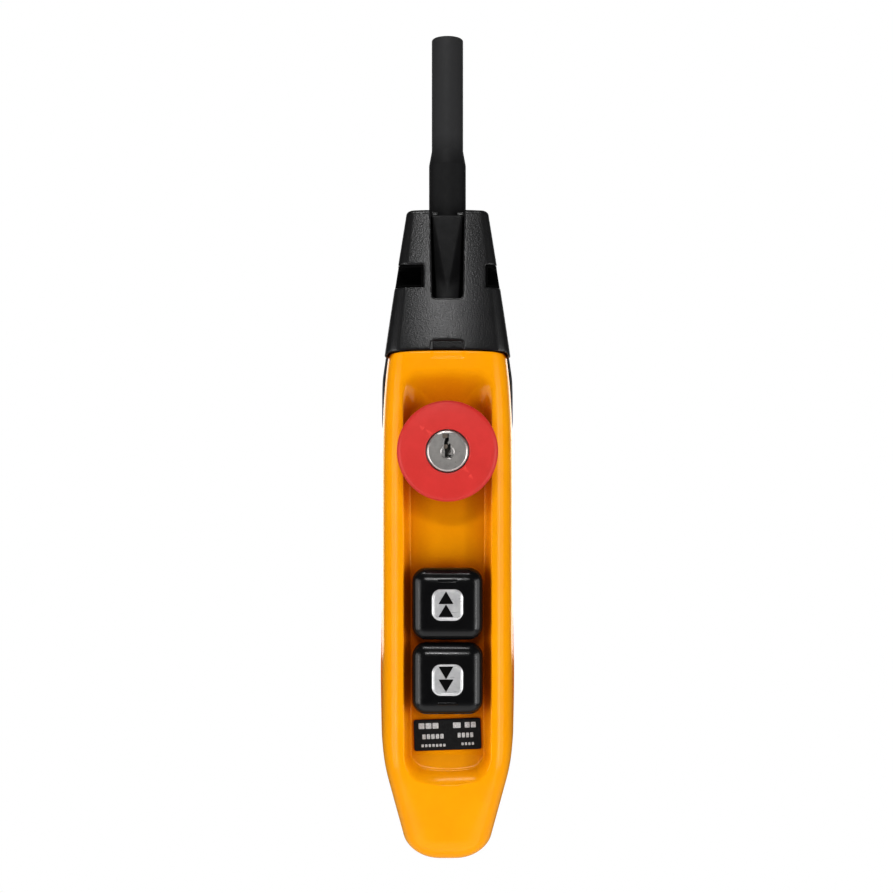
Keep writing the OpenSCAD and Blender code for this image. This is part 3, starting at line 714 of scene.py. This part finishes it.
def head_outside(x, y, z, inset):
    levels = z[0, 0, :]
    hw = head_profile(levels, HEAD_HALF_W)[None, None, :] - inset
    front = head_profile(levels, HEAD_FRONT)[None, None, :] - inset
    rear = head_profile(levels, HEAD_REAR)[None, None, :] - inset
    corner = head_profile(levels, HEAD_CORNER)[None, None, :] - inset / 2
    crown = 0.0045 * np.minimum(np.abs(x), hw) ** 2
    # the upper sides lie along the lines of sight, so that the slots leave no notch in them
    draft = smooth((z - SKIRT_END - 30) / 20) * (np.clip(y, -30, 8) + 13) / -EYE[1]
    side = np.abs(x) - hw * (1 + draft)
    before = rounded_max(side, -y - (front - crown), corner)
    behind = rounded_max(side, y - (rear - crown), 9.0 - inset / 2)
    return np.where(y < 0, before, behind)


def head_field(x, y, z):
    outside = head_outside(x, y, z, 0)
    top = z - (HEAD_TOP + 1.2 - 0.2 * (x / 16) ** 2)
    outside = rounded_max(outside, top, 1.8)
    outside = rounded_max(outside, SKIRT_END - z, 0.5)
    joint = COVER_TOP + JOINT_GAP - joint_drop(np.clip(x, -25, 25), 25.0)
    outside = rounded_max(outside, np.minimum(0.1 - y, joint - z), 0.5)
    cavity = np.maximum(head_outside(x, y, z, HEAD_WALL), z - (HEAD_TOP - 3.4))
    solid = np.maximum(outside, -cavity)

    def bar(px, pz, y0, r):
        return np.maximum(np.hypot(x - px, z - pz) - r, y0 - y)

    posts = np.full_like(x, 9)
    for s in (-1, 1):
        posts = np.minimum(posts, bar(s * CLAMP_X, CLAMP_Z, -8.9, 3.2))
        posts = np.minimum(posts, bar(s * CLAMP_X, CLAMP_Z, 10, POST_R))
        posts = np.minimum(posts, bar(s * HEAD_POSTS[0][0], HEAD_POSTS[0][1], 0.1, POST_R))
    height = np.maximum(SLOT_LO - SLOT_WALL - z, z - SLOT_HI - SLOT_WALL)
    for side in (x - (SLOT_LEFT + SLOT_WALL), (SLOT_RIGHT - SLOT_WALL) - x):
        pocket = np.maximum(np.maximum(side, y - (SLOT_BACK + SLOT_WALL)), height)
        posts = np.minimum(posts, pocket)
    solid = np.minimum(solid, np.maximum(posts, outside + 0.3))

    sleeve = np.maximum(np.hypot(x, y) - 7.95, HEAD_TOP - 5 - z)
    solid = np.maximum(solid, -sleeve)
    share = np.clip((z - WINDOW_END) / (HEAD_TOP - WINDOW_END), 0, 1)
    width = WINDOW_END_HALF + (WINDOW_TOP_HALF - WINDOW_END_HALF) * share
    window = np.maximum(rounded_max(np.abs(x) - width, WINDOW_END - z, 1.3), y + 7.2)
    solid = rounded_max(solid, -window, 0.45)
    height = np.maximum(SLOT_LO - z, z - SLOT_HI)
    for side in (x - SLOT_LEFT, SLOT_RIGHT - x):
        slot = np.maximum(np.maximum(side, y - SLOT_BACK), height)
        solid = rounded_max(solid, -slot, 0.25)
    # the thumb recess over the joint with the cover
    thumb = np.maximum(rounded_max(np.abs(x) - NOTCH_HALF, z - THUMB_TOP, 1.0), y - THUMB_Y)
    solid = rounded_max(solid, -thumb, 0.2)
    for s in (-1, 1):
        for px, pz, well in ((CLAMP_X, CLAMP_Z, 12), (HEAD_POSTS[0][0], HEAD_POSTS[0][1], 13)):
            solid = rounded_max(solid, -bar(s * px, pz, well, WELL_R), 0.3)
            solid = np.maximum(solid, -bar(s * px, pz, -12, SCREW_R))
    return solid


def cable_head():
    low = (-28.6, -22, SKIRT_END - 1)
    high = (28.6, 26.6, HEAD_TOP + 2.0)
    head = from_field("head_cap_skin", low, high, 0.5, head_field, keep=0.62)
    return piece(head, HEAD_BLACK, "case", ["head_cap"], sharp=50)


def painted_slot_shade():
    """Matt black sheets in the head's two side slots: painted shade, which darkens the slots."""
    def field(x, y, z):
        height = np.maximum(SLOT_LO - z, z - SLOT_HI)
        shade_sheet = np.full_like(x, 9)
        for side in (x - SLOT_LEFT, SLOT_RIGHT - x):
            slot = np.maximum(np.maximum(side, y - SLOT_BACK), height)
            shade_sheet = np.minimum(shade_sheet, np.maximum(slot + 0.05, -slot - 0.9))
        return np.maximum(shade_sheet, head_outside(x, y, z, 0) + 0.25)

    low, high = (-28.6, -22, SLOT_LO - 0.6), (28.6, 3, SLOT_HI + 0.6)
    shade_sheets = from_field("painted_slot_shade", low, high, 0.3, field, keep=0.4)
    return piece(shade_sheets, SHADOW, "case", sharp=50)


TONGUE_BACK = -8.1
TONGUE_FACE = -11.7


def tongue_field(x, y, z):
    """Clamp tongue: a flat V between two facets that fall away, and a raised foot."""
    share = np.clip((z - (WINDOW_END - 1)) / (HEAD_TOP - WINDOW_END + 1), 0, 1)
    width = 4.9 + (6.7 - 4.9) * share
    apex = HEAD_TOP - 31
    flat = np.clip((z - apex) / (HEAD_TOP - 3 - apex), 0, 1) * 5.2
    face = TONGUE_FACE + 0.30 * (np.hypot(np.maximum(0, np.abs(x) - flat), 0.6) - 0.6)
    foot = TONGUE_FACE + 0.5 - 0.16 * (HEAD_TOP - 27.0 - 0.16 * x * x - z)
    front = smooth_min(face, np.maximum(foot, TONGUE_FACE - 1.2), 0.5)
    front = front + 0.9 * smooth((z - (HEAD_TOP - 2.2)) / 2.2)
    plate = rounded_max(rounded_max(np.abs(x) - width, (front - y) * 0.9, 0.4),
                        y - TONGUE_BACK, 0.3)
    plate = np.maximum(plate, np.maximum(z - (HEAD_TOP - 0.7), CLAMP_Z - 4.5 - z))
    beam = np.maximum(np.maximum(np.abs(x) - 15, np.abs(y - (TONGUE_BACK - 2.2)) - 1.4),
                      np.abs(z - CLAMP_Z) - 4.5)
    solid = np.minimum(plate, beam)
    collar = np.maximum(np.hypot(x, y) - 9.7, np.abs(z - (HEAD_TOP - 5.6)) - 2.2)
    solid = np.maximum(solid, -collar)
    solid = np.maximum(solid, 7.85 - np.hypot(x, y))
    for s in (-1, 1):
        solid = np.maximum(solid, SCREW_R - np.hypot(x - s * CLAMP_X, z - CLAMP_Z))
    return solid


def cable_clamp():
    low = (-15.7, -14, CLAMP_Z - 5.2)
    high = (15.8, -6.8, HEAD_TOP)
    clamp = from_field("cable_clamp_skin", low, high, 0.3, tongue_field, keep=0.6)
    return piece(clamp, CLAMP_BLACK, "case", ["cable_clamp"], sharp=50)


def cable_sleeve():
    low, high = box_mm("cable_sleeve")
    bore, thin, root, collar = 5.0, 6.6, 7.75, 9.4
    top, end = high[2], low[2]
    collar_lo, collar_hi = HEAD_TOP - 7.4, HEAD_TOP - 3.6
    outline = rounded_path([
        (bore, end, 0.3), (root, end, 0.3), (root, collar_lo, 0.1), (collar, collar_lo, 0.3),
        (collar, collar_hi, 0.3), (root, collar_hi, 0.1), (root, HEAD_TOP + 21.7, 1.5),
        (thin, HEAD_TOP + 27.9, 1.5), (thin, top, 1.3), (bore, top, 0.7)], 8)
    sleeve = mesh_of("cable_sleeve_skin", *lathe(outline, 96))
    return piece(sleeve, RUBBER, "case", ["cable_sleeve"])


# ------------------------------------------------------------------ emergency stop


def mushroom():
    r = (box_mm("mushroom_head")[1][0] - box_mm("mushroom_head")[0][0]) / 2
    outline = rounded_path([
        (8.6, 11, 0.3), (12.6, 11, 0.5), (13.4, 14.8, 1.2), (r - 3.4, 17.2, 2), (r - 0.6, 18.4, 1.2),
        (r, 20.4, 0.8), (r, 25.0, 2.6), (16.5, 25.75, 30), (12.5, 26.0, 30), (9.2, 26.1, 0.4),
        (8.6, 25.7, 0.2)], 10)
    points, faces = lathe(outline, 144)
    head = mesh_of("mushroom_skin", on_floor(points, STOP_Z), faces)
    return piece(head, RED, "mushroom", ["mushroom_head"])


# The keyway's outline in the plug's face; Y is up.
KEYWAY = [(-2.0, 6.8), (0.5, 6.8), (0.5, 4.2), (0.1, 3.4), (0.1, 2.95), (1.2, 2.9), (1.2, -0.75),
          (0.5, -0.8), (0.5, -1.5), (1.5, -1.6), (1.5, -2.6), (-1.0, -2.6), (-1.1, 0.7),
          (-1.45, 1.0), (-1.45, 2.7), (-1.3, 3.6), (-0.9, 5.0), (-2.0, 5.1)]


def lock():
    face, back, end = 26.25, 24.1, 8.4
    r, stem_r = 8.1, 5.5
    outline = [(0, back), (r - 0.1, back), (r, 24.3), (r, face - 0.5), (r - 0.12, face - 0.35),
               (r - 0.7, face), (0, face)]
    points, faces = lathe(outline, 96)
    stem = lathe([(0, end), (stem_r, end), (stem_r, 24.2), (0, 24.2)], 64)
    plug = mesh_of("lock_face", on_floor(points, STOP_Z), faces)
    boolean(plug, [(on_floor(stem[0], STOP_Z), stem[1])], "UNION")
    # a shallow dish round the keyway
    dish, ring = lathe([(0, face - 0.5), (2.3, face - 0.5), (2.95, face + 0.1), (0, face + 0.1)], 64)
    boolean(plug, [(on_floor(dish, STOP_Z - 0.4), ring)])
    points, faces = prism(KEYWAY, 13, face + 1)
    boolean(plug, [(on_floor(points, STOP_Z), faces)])
    piece(plug, NICKEL, "key_plug", ["lock_plug"], sharp=28)
    # the two pins that show in the keyway
    pins = []
    right, corner = 0.05, 0.35
    for low, high, left, top in ((5.15, 6.75, -1.95, 25.9), (1.0, 2.65, -1.4, 25.4)):
        shape = rounded_path([(left, low, corner), (right, low, corner), (right, high, corner),
                              (left, high, corner)], 4)
        pins.append(prism(shape, 14, top))
    points, faces = together(pins)
    wafers = mesh_of("lock_wafers", on_floor(points, STOP_Z), faces)
    return piece(wafers, PIN, "key_plug")


# ------------------------------------------------------------------ push buttons

CAP_HALF_X, CAP_HALF_Y, CAP_R = 14.35, 14.65, 5.7
CAP_TOP, CAP_SKIRT = 12.0, 5.3
PILLOW_IN, PILLOW_DOWN = 6.0, 4.6
POCKET_HALF, POCKET_R = 6.5, 3.7
LEGEND_HALF, LEGEND_R = 6.35, 3.6


def cap_outline(inset, r=None):
    return rounded_rect(CAP_HALF_X - inset, CAP_HALF_Y - inset,
                        max(CAP_R - inset, 1.2) if r is None else r)


def crowned(outline, level):
    """A ring on the cap's slightly crowned top."""
    x, y = outline[:, 0] / CAP_HALF_X, outline[:, 1] / CAP_HALF_Y
    return np.column_stack([outline, level - 0.35 * (x * x + y * y)])


def button(name, z, mark):
    """mark is +1 where the groove is over the legend, and -1 where a bar is under it."""
    rings = [crowned(cap_outline(5.6, 0.8), CAP_TOP - 2.6), crowned(cap_outline(2.4), CAP_TOP - 2.9),
             crowned(cap_outline(2.0), CAP_TOP - 3.6)]
    rings += [np.column_stack([cap_outline(inset), np.full(len(rings[0]), level)])
              for inset, level in ((1.8, CAP_SKIRT + 0.2), (1.5, CAP_SKIRT), (0.6, CAP_SKIRT),
                                   (0.2, CAP_SKIRT + 0.15), (0.05, CAP_SKIRT + 0.5))]
    for a in np.radians(np.linspace(0, 90, 15)):
        inset = PILLOW_IN * (1 - math.cos(a))
        rings.append(crowned(cap_outline(inset), CAP_TOP - PILLOW_DOWN * (1 - math.sin(a))))
    edge = rounded_rect(POCKET_HALF + 0.3, POCKET_HALF + 0.3, POCKET_R + 0.3)
    last = cap_outline(PILLOW_IN)
    for share in (0.35, 0.7, 1.0):
        rings.append(crowned(last + (edge - last) * share, CAP_TOP))
    pocket = rounded_rect(POCKET_HALF, POCKET_HALF, POCKET_R)
    for level in (CAP_TOP - 0.35, CAP_TOP - 1.0):
        rings.append(np.column_stack([pocket, np.full(len(pocket), level)]))
    points, faces = loft(rings)
    cap = mesh_of(name + "_cap_skin", on_floor(points, z), faces)
    bar_x, bar_h, bar_r = 4.4, 1.0, 0.9
    line = rounded_path([(-bar_x, -bar_h, bar_r), (bar_x, -bar_h, bar_r),
                         (bar_x, bar_h, bar_r), (-bar_x, bar_h, bar_r)], 6)
    middle_y = mark * 9.6
    shapes = []
    for inset, level in ((0.55, -0.75), (0.35, -0.6), (0.12, -0.1), (-0.2, 0.6)):
        scale = np.array([(bar_x - inset) / bar_x, (bar_h - inset) / bar_h])
        flat = line * scale + [0, middle_y]
        shapes.append(np.column_stack([flat, np.full(len(flat), CAP_TOP - 0.15 + level)]))
    if mark > 0:
        points, faces = loft(shapes)
        boolean(cap, [(on_floor(points, z), faces)])
    else:
        low = line * [0.98, 0.62] + [0, middle_y]
        high = line * [0.93, 0.30] + [0, middle_y]
        shapes = [np.column_stack([low, np.full(len(low), CAP_TOP - 1.2)]),
                  np.column_stack([low, np.full(len(low), CAP_TOP - 0.25)]),
                  np.column_stack([high, np.full(len(high), CAP_TOP + 0.05)])]
        points, faces = loft(shapes)
        boolean(cap, [(on_floor(points, z), faces)], "UNION")
    body = name + "_button"
    piece(cap, CAP_BLACK, body, [name + "_cap"], sharp=40)

    rings = []
    for inset, level in ((0.1, 11.05), (0, 11.15), (0, 11.95), (0.1, 12.1), (0.75, 12.42),
                         (0.95, 12.40), (1.15, 12.25)):
        flat = rounded_rect(LEGEND_HALF - inset, LEGEND_HALF - inset, LEGEND_R - inset, 10)
        rings.append(np.column_stack([flat, np.full(len(flat), level)]))
    points, faces = loft(rings)
    legend = mesh_of(name + "_legend_skin", on_floor(points, z), faces)
    arrow_h, arrow_half, shift = 5.0, 2.95, -0.6
    openings, inlays = [], []
    for low in (-4.75, 0.5):
        centre = low + arrow_h / 2
        for grow, found, bottom, top in ((0.06, openings, 10, 14), (0.0, inlays, 11.0, 12.2)):
            tip = mark * (arrow_h / 2 + grow * 2)
            base = -mark * (arrow_h / 2 + grow)
            flat = [(shift - arrow_half - grow * 1.6, centre + base),
                    (shift + arrow_half + grow * 1.6, centre + base), (shift, centre + tip)]
            found.append(prism(flat, bottom, top))
    points, faces = together(openings)
    boolean(legend, [(on_floor(points, z), faces)])
    piece(legend, LEGEND, body, [name + "_legend"], sharp=30)
    points, faces = together(inlays)
    arrows = mesh_of(name + "_arrows", on_floor(points, z), faces)
    return piece(arrows, CAP_BLACK, body)


# ------------------------------------------------------------------ rating plate


def rating_plate():
    """A thin plate, a little askew, with plain blocks where its print is."""
    low, high = box_mm("rating_plate")
    hx, hy = (high[0] - low[0]) / 2 - 0.2, (high[2] - low[2]) / 2 - 0.15
    turn = math.radians(1.9)

    def placed(points):
        points = np.asarray(points, float)
        x = points[:, 0] * math.cos(turn) - points[:, 1] * math.sin(turn)
        y = points[:, 0] * math.sin(turn) + points[:, 1] * math.cos(turn)
        return on_floor(np.column_stack([x, y, points[:, 2]]), PLATE_Z)

    rings = []
    for inset, level in ((0, 0.02), (0, 0.45), (0.15, 0.6)):
        flat = rounded_rect(hx - inset, hy - inset, 0.8 - inset, 4, 6)
        rings.append(np.column_stack([flat, np.full(len(flat), level)]))
    points, faces = loft(rings)
    plate = mesh_of("rating_plate_skin", placed(points), faces)
    piece(plate, PLATE, "case", ["rating_plate"])
    # each row's groups of blocks: left, right, number of blocks, bottom and top
    blocks = []
    between = 0.45
    for left, right, count, bottom, top in (
            (-11.8, -3.6, 3, 2.6, 5.0), (2.4, 5.6, 1, 2.6, 4.9), (7.2, 11.8, 2, 2.6, 4.9),
            (-10.4, -1.6, 5, -1.6, 0.4), (4.2, 10.6, 4, -1.4, 0.6),
            (-10.9, -0.9, 7, -4.9, -3.7), (5.6, 10.8, 4, -4.6, -3.4)):
        pitch = (right - left + between) / count
        for k in range(count):
            x0, x1 = left + k * pitch, left + (k + 1) * pitch - between
            flat = rounded_path([(x0, bottom, 0.3), (x1, bottom, 0.3), (x1, top, 0.3),
                                 (x0, top, 0.3)], 4)
            blocks.append(prism(flat, 0.55, 0.66))
    points, faces = together(blocks)
    marks = mesh_of("rating_plate_bars", placed(points), faces)
    return piece(marks, PRINT, "case")


# ------------------------------------------------------------------ springs

# Wire radius and number of turns.
STOP_SPRING = (0.45, 4)
BUTTON_SPRING = (0.35, 6)


def spring(name, wire, turns):
    """A coil about Y, wound along the length of its CAD node."""
    low, high = box_mm(name)
    cx, cz = middle(name)[0], middle(name)[2]
    radius = (high[0] - low[0]) / 2 - wire
    count = 24 * turns
    round_wire = np.linspace(0, 2 * math.pi, 10, endpoint=False)
    out = radius + wire * np.cos(round_wire)
    rings = []
    for angle, y in zip(np.linspace(0, 2 * math.pi * turns, count + 1),
                        np.linspace(high[1] - wire, low[1] + wire, count + 1)):
        rings.append(np.stack([cx + out * math.cos(angle), y + wire * np.sin(round_wire),
                               cz + out * math.sin(angle)], -1))
    coil = mesh_of(name + "_coil", *loft(rings))
    piece(coil, SPRING, "case", [name])
    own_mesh(coil)


# ------------------------------------------------------------------ build

front_cover()
rear_shell()
cable_head()
painted_slot_shade()
cable_clamp()
cable_sleeve()
mushroom()
lock()
button("up", UP_Z, 1)
button("down", DOWN_Z, -1)
rating_plate()
for joint in frame["record"]["behaviour"]["joints"]:
    for deforming in joint.get("deforming_nodes", []):
        wire, turns = STOP_SPRING if joint["name"] == "stop_press" else BUTTON_SPRING
        spring(deforming["node"], wire, turns)

# CAD nodes that keep their own shape, by the end of their names.
KEPT = [("terminal_screws", STEEL), ("screws", STEEL), ("seal", SEAL), ("gasket", SEAL),
        ("contacts", BRASS), ("bridge", BRASS), ("contact_block", BLOCK_BLACK),
        ("plunger", IVORY), ("stop_stem", IVORY), ("contact_frame", IVORY),
        ("stop_body", BLOCK_BLACK), ("stop_nut", STEEL), ("lock_barrel", NICKEL),
        ("jumper_wires", WIRE_RED)]
for node_name, node in frame["nodes"].items():
    for ending, material in KEPT:
        if node_name.endswith(ending):
            for slot_number in range(len(node.data.materials)):
                node.data.materials[slot_number] = material
            break

# ------------------------------------------------------------------ camera, floor and light

FLOOR_SIZE = 6.0
FLOOR_LEVEL = TIP * MM - 0.45
AMBIENT = 0.08
camera_data = bpy.data.cameras.new("camera")
camera = bpy.data.objects.new("camera", camera_data)
bpy.context.scene.collection.objects.link(camera)
camera.location = tuple(v * MM for v in EYE)
camera.rotation_euler = (math.pi / 2, 0, 0)
camera_data.sensor_width = 36
camera_data.lens = 53.8
bpy.context.scene.camera = camera
bpy.context.scene.view_settings.view_transform = "Standard"
bpy.context.scene.view_settings.gamma = 0.85

world = bpy.data.worlds.new("studio")
bpy.context.scene.world = world
world.use_nodes = True
tree = world.node_tree
backdrop = tree.nodes["Background"]
backdrop.inputs["Color"].default_value = (1, 1, 1, 1)
backdrop.inputs["Strength"].default_value = 1.0
dim = tree.nodes.new("ShaderNodeBackground")
dim.inputs["Color"].default_value = (1, 1, 1, 1)
dim.inputs["Strength"].default_value = AMBIENT
path = tree.nodes.new("ShaderNodeLightPath")
choice = tree.nodes.new("ShaderNodeMixShader")
tree.links.new(path.outputs["Is Camera Ray"], choice.inputs[0])
tree.links.new(dim.outputs[0], choice.inputs[1])
tree.links.new(backdrop.outputs[0], choice.inputs[2])
tree.links.new(choice.outputs[0], tree.nodes["World Output"].inputs["Surface"])

floor_data = bpy.data.meshes.new("floor")
floor_data.from_pydata([(x * FLOOR_SIZE, y * FLOOR_SIZE, FLOOR_LEVEL)
                        for x, y in ((-1, -1), (1, -1), (1, 1), (-1, 1))], [], [(0, 1, 2, 3)])
floor = bpy.data.objects.new("floor", floor_data)
bpy.context.scene.collection.objects.link(floor)
paper = Nodes("paper_floor")
paper.shader.inputs["Base Color"].default_value = (0.6, 0.6, 0.6, 1)
paper.shader.inputs["Roughness"].default_value = 0.9
glow = paper.add("ShaderNodeEmission")
seen = paper.add("ShaderNodeLightPath").outputs["Is Camera Ray"]
both = paper.add("ShaderNodeMixShader")
paper.link(seen, both.inputs[0])
paper.link(paper.shader.outputs[0], both.inputs[1])
paper.link(glow.outputs[0], both.inputs[2])
paper.link(both.outputs[0], paper.tree.nodes["Material Output"].inputs["Surface"])
floor_data.materials.append(paper.material)


def softbox(name, place, aim, width, height, power):
    data = bpy.data.lights.new(name, "AREA")
    data.shape = "RECTANGLE"
    data.size, data.size_y = width, height
    data.energy = power
    light = bpy.data.objects.new(name, data)
    light.location = place
    light.rotation_euler = (Vector(aim) - Vector(place)).to_track_quat("-Z", "Y").to_euler()
    bpy.context.scene.collection.objects.link(light)


# Places, aims and sizes are in metres here, and powers in watts. The side boxes light the case
# evenly, the strips draw the bright lines along its edges, and the small boxes in front and
# above give the head its sheen.
BUTTONS = (0, 0, -0.24)
softbox("right_side", (0.80, -0.36, -0.33), (0, 0, -0.26), 0.70, 0.70, 4.7)
softbox("left_side", (-0.80, -0.36, -0.33), (0, 0, -0.26), 0.70, 0.70, 4.9)
softbox("right_strip", (0.75, -0.50, -0.36), BUTTONS, 0.05, 0.60, 1.3)
softbox("left_strip", (-0.75, -0.50, -0.44), BUTTONS, 0.04, 0.56, 0.8)
softbox("low", (0, -0.22, -0.64), (0, -0.02, -0.31), 0.90, 0.30, 0.9)
softbox("overhead", (-0.08, -0.24, 0.32), (0, 0, -0.20), 0.34, 0.06, 1.2)
softbox("front", (-0.05, -0.85, 0.18), (0, 0, -0.12), 0.26, 0.06, 2.1)
softbox("back", (0, 0.95, 0.05), (0, 0, -0.20), 1.0, 1.0, 6.0)
